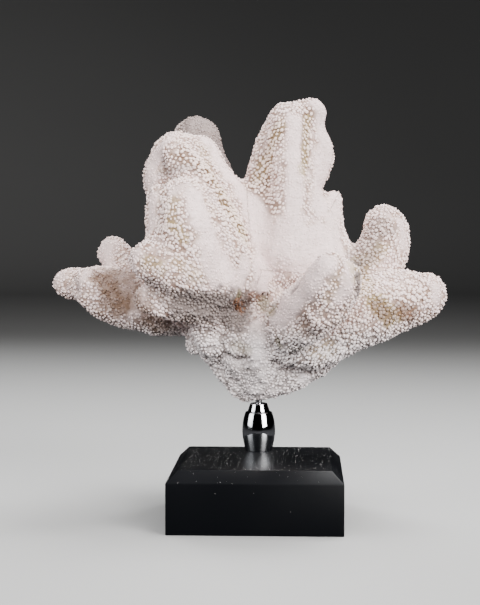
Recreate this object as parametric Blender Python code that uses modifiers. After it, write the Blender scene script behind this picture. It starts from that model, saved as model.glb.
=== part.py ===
"""Skeleton of a cauliflower coral on a small display stand, at real size.

The coral stands on a steel pin in a chrome riser, behind the middle of a black bevelled block. Everything is
in metres with +Z up. The origin is the middle of the block's underside, and the front of the coral faces -Y.
Places and radii in the tables are in millimetres.
"""

import math
from dataclasses import dataclass

import bmesh
import bpy
from mathutils import Matrix, Vector

MM = 0.001

# Block
BLOCK_SIDE = 100.0
BLOCK_HEIGHT = 36.0
BLOCK_BEVEL = 6.7

# Riser and pin, turned about one upright axis
RISER_X, RISER_Y = 0.0, 28.0
TOUCH_GAP = 0.3
BARREL_TOP = 59.7
BARREL_RADIUS = 10.0
BARREL_CURVE = (
    (0.77, 1.0), (0.84, 0.95), (0.92, 0.83), (0.98, 0.66), (1.0, 0.49), (0.96, 0.36), (0.89, 0.17),
    (0.82, 0.02), (0.78, 0.0),
)
COLLAR_TOP = 65.0
COLLAR_FOOT_RADIUS = 6.6
COLLAR_TOP_RADIUS = 5.2
COLLAR_EDGE = 0.3
PIN_RADIUS = 2.0
PIN_TOP = 95.0
PIN_EDGE = 0.5
PIN_FIT = 0.35
PIN_HOLE_START = 60.0
SEAT_RADIUS = 9.0
TURNED_STEPS = 36
SHARP_ANGLE = 35

# Coral
SPHERE_STEP = 0.3
FUSE_VOXEL = 2.0
FUSE_SMOOTHING = 12
LUMP_SIZE = 15.0
LUMP_HEIGHT = 2.6
LUMP_MIDDLE = 0.1
CORAL_TRIANGLES = 8200
CORAL_COLOR = (0.80, 0.77, 0.73)
KERF = 0.4
ZONE_SIDE = 900.0


@dataclass(frozen=True)
class Lobe:
    """A branch, ridge or swelling: spheres strung along a smooth path.

    The path's points are (x, y, z, radius), from the tip to the root.
    """

    what: str
    path: tuple


CORAL = {
    "coral_left_tower": (
        Lobe("body", ((-49, 26, 217, 13), (-43, 26, 208, 15), (-31, 27, 189, 15.5), (-17, 26, 167, 17),
                      (-4, 26, 140, 19.5))),
        Lobe("front ridge", ((-49, 11, 214, 10), (-40, 6, 202, 10.5), (-28, 6, 186, 10.5), (-18, 8, 171, 9.5),
                             (-10, 15, 157, 8))),
        Lobe("right edge", ((-36, 34, 216, 11.5), (-26, 34, 200, 11), (-14, 34, 184, 13.5),
                            (-4, 32, 167, 17))),
        Lobe("left side", ((-54, 21, 217, 9), (-57, 19, 208, 10), (-59, 18, 201, 10), (-57, 18, 193, 10.5),
                           (-46, 24, 183, 13))),
        Lobe("web to the centre", ((-7, 34, 189, 9.5), (2, 32, 173, 13.5), (6, 28, 155, 18),
                                   (2, 28, 135, 17))),
    ),
    "coral_rear_left_tower": (
        Lobe("body", ((-42, 87, 227, 15.5), (-35.5, 81, 208, 15), (-22, 65, 179, 16), (-5, 42, 139, 17))),
    ),
    "coral_left_pad": (
        Lobe("left rim", ((-55, -8, 188, 9.5), (-54, -12, 175, 10), (-53, -15, 165, 11),
                          (-49, -19, 156, 12.5))),
        Lobe("front", ((-43, -11, 188, 13), (-42, -18, 175, 15), (-39, -20, 161, 16), (-35, -18, 148, 15),
                       (-22, -6, 137, 13))),
        Lobe("right face", ((-34, -4, 186, 11), (-28, -7, 171, 12), (-20, -5, 157, 13), (-12, 3, 144, 13),
                            (-3, 16, 134, 13))),
        Lobe("chin", ((-61.5, -24, 153, 11.5), (-54, -25, 150, 13), (-44, -23, 147, 15), (-31, -12, 141, 15),
                      (-18, 0, 135, 12))),
        Lobe("lower finger", ((-62, -17, 131, 9), (-54, -17, 129, 10), (-44, -14, 127.5, 10.5),
                              (-33, -5, 125, 11.5), (-21, 8, 119, 11))),
    ),
    "coral_left_arm": (
        Lobe("tip", ((-116, 24, 138, 9), (-104, 26, 136, 10))),
        Lobe("front bulge", ((-101, 13, 138, 9.5), (-100, 12, 133, 9.5), (-91, 17, 125, 9),
                             (-78, 24, 118, 9))),
        Lobe("body", ((-99, 28, 136, 12), (-88, 29, 133, 14), (-72, 28, 125, 15.5), (-57, 28, 120.5, 15.5),
                      (-39, 28, 121, 13.7))),
        Lobe("upper knob", ((-91, 46, 156, 10), (-82, 42, 146, 11), (-69, 36, 136, 12))),
    ),
    "coral_centre_tower": (
        Lobe("left ridge", ((12, 44, 234, 9), (7, 44, 221, 10), (3, 42, 203, 11), (3, 38, 181, 16),
                            (3, 34, 155, 22))),
        Lobe("middle ridge", ((17, 38, 237, 11), (19, 33, 218, 12.5), (21, 29, 197, 14.5), (21, 26, 179, 17),
                              (19, 24, 155, 20.5))),
        Lobe("top", ((25, 42, 238, 11), (25, 42, 228, 11))),
        Lobe("right ridge", ((32.5, 41, 242, 8.5), (33, 41, 230, 7), (37, 41, 218, 8.5), (34, 39, 205, 8.5),
                             (28, 37, 191, 9), (32, 34, 172, 16), (35, 30, 149, 19.5))),
        Lobe("side knob", ((45.5, 40, 188.5, 6.5), (40, 40, 181, 8))),
        Lobe("right flank", ((42, 38, 176, 9), (41.5, 36, 163, 12), (43, 32, 147, 17))),
    ),
    "coral_rear_tower": (
        Lobe("body", ((17, 86, 205, 13.5), (17, 76, 179, 15), (11, 60, 148, 19))),
        Lobe("left knob", ((3, 92, 190, 9), (10, 84, 180, 12))),
        Lobe("right knob", ((30, 84, 186, 9.5), (24, 78, 176, 12))),
    ),
    "coral_right_upper_finger": (
        Lobe("body", ((76, 38, 173, 12.5), (76.5, 37, 164, 15), (72.5, 35, 152, 16.5), (61, 32, 141, 17),
                      (48, 28, 125, 17))),
    ),
    "coral_right_lower_finger": (
        Lobe("body", ((98.5, 11, 131, 13.5), (88, 11, 128, 15), (76, 11, 124, 17.5), (59, 12, 119, 19.5),
                      (43, 16, 113, 20.5), (24, 20, 105, 20.5))),
        Lobe("shoulder", ((87, 13, 138.5, 9), (78, 13, 135, 11), (70, 14, 129, 13))),
    ),
    "coral_front_finger": (
        Lobe("upper side", ((42, -48, 148, 11), (37, -40, 139, 12.5), (28, -26, 129, 12.5),
                            (17, -8, 119, 13))),
        Lobe("lower side", ((49, -44, 143, 11), (43, -38, 132, 12), (32, -26, 121, 12.5),
                            (20, -8, 111, 12.5))),
    ),
    "coral_rear_left_finger": (
        Lobe("body", ((-61, 98, 152, 14), (-44, 78, 138, 15.5), (-22, 55, 120, 17))),
        Lobe("upper knob", ((-51, 103, 167, 10.5), (-48, 92, 153, 12.5))),
        Lobe("lower knob", ((-36, 86, 113, 10), (-24, 66, 110, 14))),
    ),
    "coral_rear_middle_finger": (
        Lobe("body", ((4, 110, 163, 15), (4, 90, 144, 17), (2, 60, 123, 20))),
        Lobe("left knob", ((-12, 117, 150, 10), (-4, 98, 142, 13))),
        Lobe("right knob", ((21, 118, 156, 10), (12, 102, 148, 12))),
    ),
    "coral_rear_right_finger": (
        Lobe("body", ((73, 94, 151, 12), (57, 76, 137, 14.5), (32, 52, 119, 17.5))),
        Lobe("upper knob", ((59, 106, 149, 10), (58, 90, 144, 12))),
        Lobe("lower knob", ((42, 82, 111, 10), (28, 62, 108, 14))),
    ),
    "coral_trunk": (
        Lobe("core", ((-4, 28, 69, 4), (-3, 28, 73, 6.5), (0, 28, 82, 13.5), (0, 28, 96, 23),
                      (-1, 30, 117, 26))),
        Lobe("left ledge", ((-40.3, 20, 101, 4.5), (-34, 21, 101, 7.5), (-26, 20, 101, 11),
                            (-15, 18, 107, 13))),
        Lobe("lower left edge", ((-23, 26, 90, 8.5), (-16, 26, 83, 8.5), (-12, 27, 76, 7), (-8, 28, 71, 5))),
        Lobe("lower right edge", ((40, 20, 97, 11), (30, 22, 91, 12), (20, 24, 84, 11.5), (11, 26, 79, 9.5),
                                  (2, 28, 74, 7.5))),
        Lobe("front column", ((0, 2, 113, 7), (1, 4, 99, 7.5), (0, 12, 86, 7), (-2, 20, 75, 5.5))),
        Lobe("front left rib", ((-12, 4, 113, 7), (-11, 8, 102, 7.5), (-12, 14, 91, 8.5))),
        Lobe("front buttress", ((-31, 6, 113, 9), (-27, 10, 104, 10))),
        Lobe("front right rib", ((19, 4, 100, 9.5), (31, 6, 98, 10.5), (45, 8, 103, 10.5))),
        Lobe("rear left rib", ((-16, 57, 108, 9), (-11, 49, 94, 9), (-5, 40, 82, 7))),
        Lobe("rear right rib", ((17, 57, 108, 9), (12, 48, 94, 9), (6, 38, 82, 7))),
    ),
}

# Where each branch parts from the rest, in the order in which they are cut free. A plane is a point on it
# and the direction in which the branch lies, and a branch lies beyond all of its planes. What is left is the
# trunk.
FORKS = {
    "coral_front_finger": (
        ((20, -12, 118), (0.53, -0.71, 0.46)), ((4, 0, 120), (1, -0.1, 0)),
        ((35, -9, 115), (-0.45, -0.89, 0)),
    ),
    "coral_left_pad": (
        ((-43, -1, 198), (-0.146, -0.963, -0.223)), ((-32, 1, 116), (0, -0.5, 0.86)),
        ((-1, 5, 135), (-0.95, 0.05, 0.3)), ((-50, 4, 135), (0.25, -0.97, 0)),
    ),
    "coral_right_lower_finger": (((50, 15, 116), (0.93, -0.1, 0.33)), ((66, 23, 135), (0.1, -0.66, -0.74))),
    "coral_right_upper_finger": (
        ((56, 30, 133), (0.6, 0.15, 0.78)), ((53, 32, 150), (0.97, 0, -0.2)),
        ((60, 49, 135), (0.35, -0.85, 0.4)),
    ),
    "coral_rear_right_finger": (((36, 58, 118), (0.6, 0.75, 0.3)), ((24, 58, 125), (0.88, -0.1, -0.35))),
    "coral_rear_left_finger": (
        ((-28, 60, 120), (-0.6, 0.75, 0.3)), ((-58, 56, 138), (0.3, 0.95, 0)),
        ((-33, 64, 158), (-0.42, 0.51, -0.75)), ((-17, 58, 122), (-0.93, -0.1, -0.3)),
    ),
    "coral_left_arm": (((-46, 27, 120), (-0.98, -0.1, 0.1)), ((-62, 30, 168), (-0.5, 0, -0.86))),
    "coral_rear_middle_finger": (((3, 68, 126), (0, 0.83, 0.55)), ((10, 80, 160), (-0.1, 0.62, -0.78))),
    "coral_rear_left_tower": (
        ((-28, 56, 205), (-0.1, 0.98, -0.13)), ((-11, 45, 165), (-0.95, -0.1, 0.27)),
        ((-10, 44, 150), (-0.35, 0.25, 0.9)),
    ),
    "coral_rear_tower": (((0, 59, 165), (0.05, 1, 0)), ((11, 60, 142), (0, 0.3, 0.95))),
    "coral_left_tower": (((-8, 32, 198), (-0.99, 0, -0.1)), ((-10, 25, 142), (-0.15, -0.1, 0.98))),
    "coral_centre_tower": (((20, 30, 145), (0.1, 0, 1)),),
}


def clear_scene():
    """Removes every object, so that the script can run from any file."""
    for obj in list(bpy.data.objects):
        bpy.data.objects.remove(obj, do_unlink=True)


def new_collection(name):
    """Returns a new collection under the scene's own."""
    collection = bpy.data.collections.new(name)
    bpy.context.scene.collection.children.link(collection)
    return collection


def finish(name, color, roughness, metallic):
    """Returns a Principled material."""
    material = bpy.data.materials.new(name)
    material.use_nodes = True
    shader = material.node_tree.nodes["Principled BSDF"]
    shader.inputs["Base Color"].default_value = (*color, 1.0)
    shader.inputs["Roughness"].default_value = roughness
    shader.inputs["Metallic"].default_value = metallic
    return material


def add_object(name, mesh, collection, material=None):
    """Returns a new object of this mesh in the collection."""
    obj = bpy.data.objects.new(name, mesh)
    collection.objects.link(obj)
    if material:
        mesh.materials.append(material)
    return obj


def mesh_from(bm, name):
    """Returns the bmesh as a mesh, and frees it."""
    mesh = bpy.data.meshes.new(name)
    bm.to_mesh(mesh)
    bm.free()
    return mesh


def evaluated_mesh(obj, name):
    """Returns a plain mesh of the object with its modifiers applied."""
    bpy.context.view_layer.update()
    graph = bpy.context.evaluated_depsgraph_get()
    mesh = bpy.data.meshes.new_from_object(obj.evaluated_get(graph))
    mesh.name = name
    return mesh


def build_block(collection):
    """The black block: square, with one wide bevel round its top."""
    bm = bmesh.new()
    bmesh.ops.create_cube(bm, size=1.0)
    size = Vector((BLOCK_SIDE, BLOCK_SIDE, BLOCK_HEIGHT)) * MM
    bmesh.ops.scale(bm, vec=size, verts=bm.verts)
    bmesh.ops.translate(bm, vec=(0, 0, size.z / 2), verts=bm.verts)
    top = [edge for edge in bm.edges if all(vert.co.z > size.z / 2 for vert in edge.verts)]
    bmesh.ops.bevel(bm, geom=top, offset=BLOCK_BEVEL * MM, segments=1, affect="EDGES")
    black = finish("black_acrylic", (0.012, 0.013, 0.016), 0.22, 0.0)
    return add_object("base_block", mesh_from(bm, "base_block"), collection, black)


def turned(name, profile, collection, material):
    """Returns a solid turned about the riser's axis, from (radius, height) points listed from top to foot."""
    bm = bmesh.new()
    verts = [bm.verts.new((radius * MM, 0, height * MM)) for radius, height in profile]
    for upper, lower in zip(verts, verts[1:]):
        bm.edges.new((upper, lower))
    obj = add_object(name, mesh_from(bm, name), collection, material)
    obj.location = (RISER_X * MM, RISER_Y * MM, 0)
    screw = obj.modifiers.new("Turn", "SCREW")
    screw.steps = screw.render_steps = TURNED_STEPS
    screw.use_merge_vertices = True
    screw.merge_threshold = 1e-5
    obj.data.shade_smooth()
    obj.data.set_sharp_from_angle(angle=math.radians(SHARP_ANGLE))
    return obj


def build_riser(collection):
    """The chrome riser's barrel, its collar, and the pin that carries the coral."""
    foot = BLOCK_HEIGHT + TOUCH_GAP
    chrome = finish("chrome", (0.82, 0.82, 0.84), 0.06, 1.0)
    side = [(BARREL_RADIUS * width, foot + (BARREL_TOP - foot) * height) for width, height in BARREL_CURVE]
    turned("riser_barrel", [(0, BARREL_TOP), *side, (0, foot)], collection, chrome)
    seat = BARREL_TOP + TOUCH_GAP
    collar = (
        (0, COLLAR_TOP), (COLLAR_TOP_RADIUS - COLLAR_EDGE, COLLAR_TOP),
        (COLLAR_TOP_RADIUS, COLLAR_TOP - COLLAR_EDGE), (COLLAR_FOOT_RADIUS, seat + COLLAR_EDGE),
        (COLLAR_FOOT_RADIUS - COLLAR_EDGE, seat), (0, seat),
    )
    turned("riser_collar", collar, collection, finish("chrome_collar", (0.82, 0.82, 0.84), 0.08, 1.0))
    pin_foot = COLLAR_TOP + TOUCH_GAP
    pin = (
        (0, PIN_TOP), (PIN_RADIUS - PIN_EDGE, PIN_TOP), (PIN_RADIUS, PIN_TOP - PIN_EDGE),
        (PIN_RADIUS, pin_foot), (0, pin_foot),
    )
    turned("mounting_pin", pin, collection, finish("steel", (0.6, 0.6, 0.62), 0.25, 1.0))


def catmull(before, start, end, after, t):
    """Returns the point at t between start and end of the smooth curve through all four."""
    return 0.5 * (
        2 * start
        + (end - before) * t
        + (2 * before - 5 * start + 4 * end - after) * t**2
        + (3 * start - before - 3 * end + after) * t**3
    )


def spheres_along(path):
    """Yields (centre, radius) along the smooth curve through the path, close enough for an even surface."""
    points = [Vector(point) for point in path]
    points = [2 * points[0] - points[1], *points, 2 * points[-1] - points[-2]]
    for before, start, end, after in zip(points, points[1:], points[2:], points[3:]):
        gap = (end.xyz - start.xyz).length
        count = max(1, math.ceil(gap / (SPHERE_STEP * min(start.w, end.w))))
        for step in range(count):
            at = catmull(before, start, end, after, step / count)
            yield at.xyz, at.w
    yield points[-2].xyz, points[-2].w


def strung_mesh(lobes):
    """Returns one mesh of all the lobes' spheres, which still overlap."""
    bm = bmesh.new()
    for lobe in lobes:
        for centre, radius in spheres_along(lobe.path):
            place = Matrix.Translation(centre * MM)
            bmesh.ops.create_icosphere(bm, subdivisions=2, radius=radius * MM, matrix=place)
    return mesh_from(bm, "coral_lobes")


def fused_coral(helpers):
    """Returns the whole coral as one skin over its lobes, with the uneven lumps of a grown surface."""
    lobes = [lobe for node in CORAL.values() for lobe in node]
    obj = add_object("coral_form", strung_mesh(lobes), helpers)
    fuse = obj.modifiers.new("Fuse", "REMESH")
    fuse.mode = "VOXEL"
    fuse.voxel_size = FUSE_VOXEL * MM
    smooth = obj.modifiers.new("Blend forks", "SMOOTH")
    smooth.iterations = FUSE_SMOOTHING
    lumps = obj.modifiers.new("Lumps", "DISPLACE")
    lumps.texture = bpy.data.textures.new("coral_lumps", "CLOUDS")
    lumps.texture.noise_scale = LUMP_SIZE * MM
    lumps.texture.noise_depth = 1
    lumps.texture_coords = "GLOBAL"
    lumps.mid_level = LUMP_MIDDLE
    lumps.strength = LUMP_HEIGHT * MM
    return obj


def triangles(mesh):
    """Returns how many triangles the mesh makes."""
    return sum(len(face.vertices) - 2 for face in mesh.polygons)


def thinned(obj, share, name, helpers):
    """Returns a helper object: this one with its modifiers applied and this share of its triangles."""
    copy = add_object(name, evaluated_mesh(obj, name), helpers)
    thin = copy.modifiers.new("Thin", "DECIMATE")
    thin.ratio = share
    thin.use_collapse_triangulate = True
    mesh = evaluated_mesh(copy, name)
    bpy.data.objects.remove(copy, do_unlink=True)
    return add_object(name, mesh, helpers)


def cut(obj, tool, operation, name, helpers):
    """Returns a helper object: this one joined, cut or crossed by the tool."""
    copy = add_object(name, obj.data.copy(), helpers)
    boolean = copy.modifiers.new("Cut", "BOOLEAN")
    boolean.operation = operation
    boolean.solver = "EXACT"
    boolean.object = tool
    mesh = evaluated_mesh(copy, name)
    bpy.data.objects.remove(copy, do_unlink=True)
    return add_object(name, mesh, helpers)


def cylinder(name, radius, foot, top, collection):
    """Returns a closed cylinder about the riser's axis."""
    bm = bmesh.new()
    middle = Vector((RISER_X, RISER_Y, (foot + top) / 2)) * MM
    bmesh.ops.create_cone(
        bm, cap_ends=True, segments=TURNED_STEPS, radius1=radius * MM, radius2=radius * MM,
        depth=(top - foot) * MM, matrix=Matrix.Translation(middle),
    )
    return add_object(name, mesh_from(bm, name), collection)


def seated(coral, helpers):
    """Returns the coral with its foot cut flat over the collar, and with the hole for the pin."""
    under = cylinder("seat_cutter", SEAT_RADIUS, 0, COLLAR_TOP + TOUCH_GAP, helpers)
    hole = cylinder("pin_hole_cutter", PIN_RADIUS + PIN_FIT, PIN_HOLE_START, PIN_TOP + PIN_FIT, helpers)
    flat = cut(coral, under, "DIFFERENCE", "coral_flat", helpers)
    return cut(flat, hole, "DIFFERENCE", "coral_seated", helpers)


def zone(name, planes, grow, helpers):
    """Returns the closed space beyond all the planes, each set back by grow."""
    bm = bmesh.new()
    bmesh.ops.create_cube(bm, size=ZONE_SIDE * MM)
    for point, direction in planes:
        along = Vector(direction).normalized()
        at = (Vector(point) - along * grow) * MM
        geom = [*bm.verts, *bm.edges, *bm.faces]
        bmesh.ops.bisect_plane(bm, geom=geom, plane_co=at, plane_no=along, clear_inner=True)
        bmesh.ops.holes_fill(bm, edges=bm.edges, sides=0)
    bmesh.ops.recalc_face_normals(bm, faces=bm.faces)
    return add_object(name, mesh_from(bm, name), helpers)


def split_coral(coral, helpers):
    """Returns the coral's branches by name, cut apart at its main forks with a hairline gap."""
    branches = {}
    rest = coral
    for name, planes in FORKS.items():
        inner = zone(name + "_zone", planes, 0, helpers)
        outer = zone(name + "_clearance", planes, KERF, helpers)
        branches[name] = cut(rest, inner, "INTERSECT", name + "_cut", helpers)
        rest = cut(rest, outer, "DIFFERENCE", "coral_rest", helpers)
    branches["coral_trunk"] = rest
    return branches


def build_coral(parts, helpers):
    """The coral: one skin, seated on the pin, split at its main forks and thinned."""
    whole = fused_coral(helpers)
    share = CORAL_TRIANGLES / triangles(evaluated_mesh(whole, "coral_count"))
    branches = split_coral(seated(thinned(whole, share, "coral_thin", helpers), helpers), helpers)
    share = CORAL_TRIANGLES / sum(triangles(branch.data) for branch in branches.values())
    for name, branch in branches.items():
        mesh = thinned(branch, share, name + "_thin", helpers).data.copy()
        mesh.materials.clear()
        add_object(name, mesh, parts, finish(name, CORAL_COLOR, 0.9, 0.0))
        mesh.shade_smooth()


def hide(collection):
    """Leaves a collection of helpers out of the render and draws them as wires."""
    collection.hide_render = True
    for obj in collection.objects:
        obj.hide_render = True
        obj.display_type = "WIRE"


def main():
    """Builds the stand and the coral."""
    clear_scene()
    parts = new_collection("cauliflower_coral_on_stand")
    helpers = new_collection("helpers")
    build_block(parts)
    build_riser(parts)
    build_coral(parts, helpers)
    hide(helpers)


if __name__ == "__main__":
    main()
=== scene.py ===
"""The looks of a cauliflower coral skeleton on its display stand.

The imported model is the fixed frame. The coral's branches are joined in one skin without the hairline gaps, closely
covered in warts, and parted again where the solids part. The stand gets finer turned and bevelled pieces. Everything
is in metres, with +Z up and the front of the coral towards -Y.
"""

import logging
import math
from dataclasses import dataclass, fields
from enum import Enum
from typing import Any, Callable, ClassVar, Iterator, Sequence

import bmesh
import bpy
import numpy as np
from mathutils import Matrix, Vector, noise
from mathutils.bvhtree import BVHTree


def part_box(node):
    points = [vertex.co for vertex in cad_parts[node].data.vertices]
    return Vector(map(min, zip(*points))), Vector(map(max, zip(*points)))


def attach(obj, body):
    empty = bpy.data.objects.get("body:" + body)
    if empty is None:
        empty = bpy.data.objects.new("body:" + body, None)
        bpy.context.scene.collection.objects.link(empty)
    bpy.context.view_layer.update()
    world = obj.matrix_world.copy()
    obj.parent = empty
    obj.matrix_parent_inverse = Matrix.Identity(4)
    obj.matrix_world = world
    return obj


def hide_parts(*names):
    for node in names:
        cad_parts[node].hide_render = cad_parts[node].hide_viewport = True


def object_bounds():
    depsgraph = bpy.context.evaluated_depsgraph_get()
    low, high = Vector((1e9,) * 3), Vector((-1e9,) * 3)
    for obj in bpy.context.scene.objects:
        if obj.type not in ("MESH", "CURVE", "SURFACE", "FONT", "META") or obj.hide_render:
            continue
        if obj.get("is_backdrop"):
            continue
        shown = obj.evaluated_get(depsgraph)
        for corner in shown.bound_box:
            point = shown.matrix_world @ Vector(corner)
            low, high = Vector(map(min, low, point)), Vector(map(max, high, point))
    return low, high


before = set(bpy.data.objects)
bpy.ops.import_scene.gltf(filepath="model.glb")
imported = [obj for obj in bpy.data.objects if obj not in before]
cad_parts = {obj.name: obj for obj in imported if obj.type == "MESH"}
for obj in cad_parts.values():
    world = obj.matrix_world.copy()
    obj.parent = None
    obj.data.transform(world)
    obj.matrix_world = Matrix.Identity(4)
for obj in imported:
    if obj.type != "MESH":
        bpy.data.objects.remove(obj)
CAD_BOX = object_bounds()

LOG = logging.getLogger("coral")
MM = 0.001
BODY = "root"
PHOTO_SIZE = (480, 605)

Color = tuple[float, float, float]
Pixel = tuple[float, float]
Pair = tuple[float, float]
Socket = Any
Piece = bpy.types.Object
Mesh = bpy.types.Mesh
Material = bpy.types.Material


def overload(operation: str, reflected: bool = False) -> Callable[["Value", "Value | float"], "Value"]:
    """Returns an operator for Value that adds this Math node, with its values swapped where it is reflected."""

    def operator(this: "Value", other: "Value | float") -> "Value":
        """Returns the Math node of both values."""
        return this.math(operation, other, this) if reflected else this.math(operation, this, other)

    return operator


class Value:
    """A node's output, whose arithmetic adds Math nodes to the same tree."""

    def __init__(self, board: "Board", socket: Socket) -> None:
        """Wraps an output socket of the board's tree."""
        self.board = board
        self.socket = socket

    def math(self, operation: str, *values: "Value | float") -> "Value":
        """Returns a Math node of these values."""
        return self.board.add("ShaderNodeMath", {"operation": operation}, dict(enumerate(values)))

    __add__ = __radd__ = overload("ADD")
    __sub__, __rsub__ = overload("SUBTRACT"), overload("SUBTRACT", reflected=True)
    __mul__ = __rmul__ = overload("MULTIPLY")
    __truediv__, __rtruediv__ = overload("DIVIDE"), overload("DIVIDE", reflected=True)

    def at_least(self, floor: "Value | float") -> "Value":
        """Returns this, or the floor where this is lower."""
        return self.math("MAXIMUM", self, floor)

    def ramp(self, start: float, end: float, low: float = 0.0, high: float = 1.0) -> "Value":
        """Returns a smooth step, clamped.

        Args:
            start: where the step begins.
            end: where it ends, which may be below start.
            low: the result before the step.
            high: the result after it.

        Returns:
            The stepped value.
        """
        settings = {"interpolation_type": "SMOOTHSTEP"}
        return self.board.add("ShaderNodeMapRange", settings, {0: self, 1: start, 2: end, 3: low, 4: high})


class Board:
    """A node tree under construction, for a material or for Geometry Nodes."""

    def __init__(self, tree: bpy.types.NodeTree) -> None:
        """Takes over a tree and clears it."""
        self.tree = tree
        tree.nodes.clear()

    def add(
        self, kind: str, settings: dict[str, Any] | None = None, values: dict[Any, Any] | None = None,
        output: int | str = 0,
    ) -> Value:
        """Adds a node.

        Args:
            kind: the node's type.
            settings: its own properties, which are set first.
            values: a number, a tuple, a data block or a Value for each of its sockets, by name, identifier or place.
            output: which of its outputs to return.

        Returns:
            The output, or the node itself, wrapped, where it has none.
        """
        node = self.tree.nodes.new(kind)
        for name, setting in (settings or {}).items():
            setattr(node, name, setting)
        for key, value in (values or {}).items():
            socket = self.socket(node.inputs, key)
            if isinstance(value, Value):
                self.tree.links.new(value.socket, socket)
            else:
                socket.default_value = value
        return Value(self, self.socket(node.outputs, output) if node.outputs else node)

    @staticmethod
    def socket(sockets: Any, key: int | str) -> Socket:
        """Returns the socket of that place, identifier or name."""
        if isinstance(key, int):
            return sockets[key]
        found = [socket for socket in sockets if socket.identifier == key]
        return found[0] if found else sockets[key]

    def output_of(self, value: Value, key: int | str) -> Value:
        """Returns another output of the node that a value comes from."""
        return Value(self, self.socket(value.socket.node.outputs, key))

    def vector(self, operation: str, *values: Any, output: int | str = 0) -> Value:
        """Returns a Vector Math node of these values."""
        return self.add("ShaderNodeVectorMath", {"operation": operation}, dict(enumerate(values)), output)

    def mix_colors(self, factor: Value | float, low: Value | Color, high: Value | Color, blend: str = "MIX") -> Value:
        """Returns a Mix node of two colours."""
        low, high = (c if isinstance(c, Value) else (*c, 1.0) for c in (low, high))
        values = {"Factor_Float": factor, "A_Color": low, "B_Color": high}
        return self.add("ShaderNodeMix", {"data_type": "RGBA", "blend_type": blend}, values, "Result_Color")

    def scaled(self, vector: Value, by: Value | float) -> Value:
        """Returns the vector times a number."""
        return self.add("ShaderNodeVectorMath", {"operation": "SCALE"}, {"Vector": vector, "Scale": by})

    def part(self, vector: Value, axis: str) -> Value:
        """Returns a vector's X, Y or Z."""
        return self.add("ShaderNodeSeparateXYZ", {}, {0: vector}, axis)

    def chance(self, seed: int, low: float = 0.0, high: float = 1.0) -> Value:
        """Returns a random number from low to high, drawn anew at each point."""
        values = {"Min_001": low, "Max_001": high, "Seed": seed}
        return self.add("FunctionNodeRandomValue", {"data_type": "FLOAT"}, values, 1)

    def named(self, name: str) -> Value:
        """Returns a number that the geometry holds at each point."""
        return self.add("GeometryNodeInputNamedAttribute", {"data_type": "FLOAT"}, {"Name": name})

    def joined(self, *geometries: Value) -> Value:
        """Returns several geometries as one."""
        join = self.add("GeometryNodeJoinGeometry")
        for geometry in geometries:
            self.tree.links.new(geometry.socket, join.socket.node.inputs[0])
        return join

    def noise(self, place: Value, size: float, detail: float = 2.0, roughness: float = 0.5) -> Value:
        """Returns fractal noise around 0.5, with features of this size in metres."""
        values = {"Vector": place, "Scale": 1 / size, "Detail": detail, "Roughness": roughness}
        return self.add("ShaderNodeTexNoise", {}, values)


class Finish:
    """A material with nodes, made once and shared by its pieces."""

    name = "finish"

    def __init__(self) -> None:
        """Builds the material."""
        self.material = bpy.data.materials.new(self.name)
        self.material.use_nodes = True
        self.board = Board(self.material.node_tree)
        self.place = self.board.add("ShaderNodeTexCoord", output="Object")
        shader = self.board.add("ShaderNodeBsdfPrincipled", {}, self.sockets())
        self.board.add("ShaderNodeOutputMaterial", {}, {"Surface": shader})

    def sockets(self) -> dict[str, Any]:
        """Returns what each socket of the shader gets."""
        return {}

    def bump(self, height: Value, depth: float) -> Value:
        """Returns a normal raised by a height from 0 to 1, over a depth in metres."""
        return self.board.add("ShaderNodeBump", {}, {"Height": height, "Distance": depth, "Strength": 1.0})

    def attribute(self, name: str) -> Value:
        """Returns a number that the mesh holds at each point."""
        return self.board.add("ShaderNodeAttribute", {"attribute_name": name}, {}, "Fac")


@dataclass(frozen=True)
class CoralTones:
    """Colours of the bleached skeleton, in linear light."""

    wart_tip: Color = (0.89, 0.735, 0.715)
    cream: Color = (0.86, 0.69, 0.60)
    bleached: Color = (0.875, 0.70, 0.685)
    faint: Color = (0.64, 0.52, 0.485)
    # The gaps' colour: partly a tan stain, partly painted shade between the warts.
    between: Color = (0.29, 0.19, 0.15)
    # Painted shade deep in the gaps of the bold bands.
    deep: Color = (0.16, 0.095, 0.055)
    ochre: Color = (0.34, 0.265, 0.12)
    # A tan stain, darkened to serve also as painted shade in the left arm's hollow and under the fingers.
    tan: Color = (0.18, 0.112, 0.074)
    rust: Color = (0.21, 0.095, 0.05)
    # Painted shade.
    shade: Color = (0.17, 0.14, 0.13)
    chalk: Color = (0.84, 0.785, 0.785)
    # The gaps' colour towards the foot: partly stain, partly painted shade.
    ash: Color = (0.35, 0.31, 0.30)
    olive: Color = (0.22, 0.19, 0.12)
    # Near black: painted shade inside the holes.
    hole: Color = (0.02, 0.014, 0.01)


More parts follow.
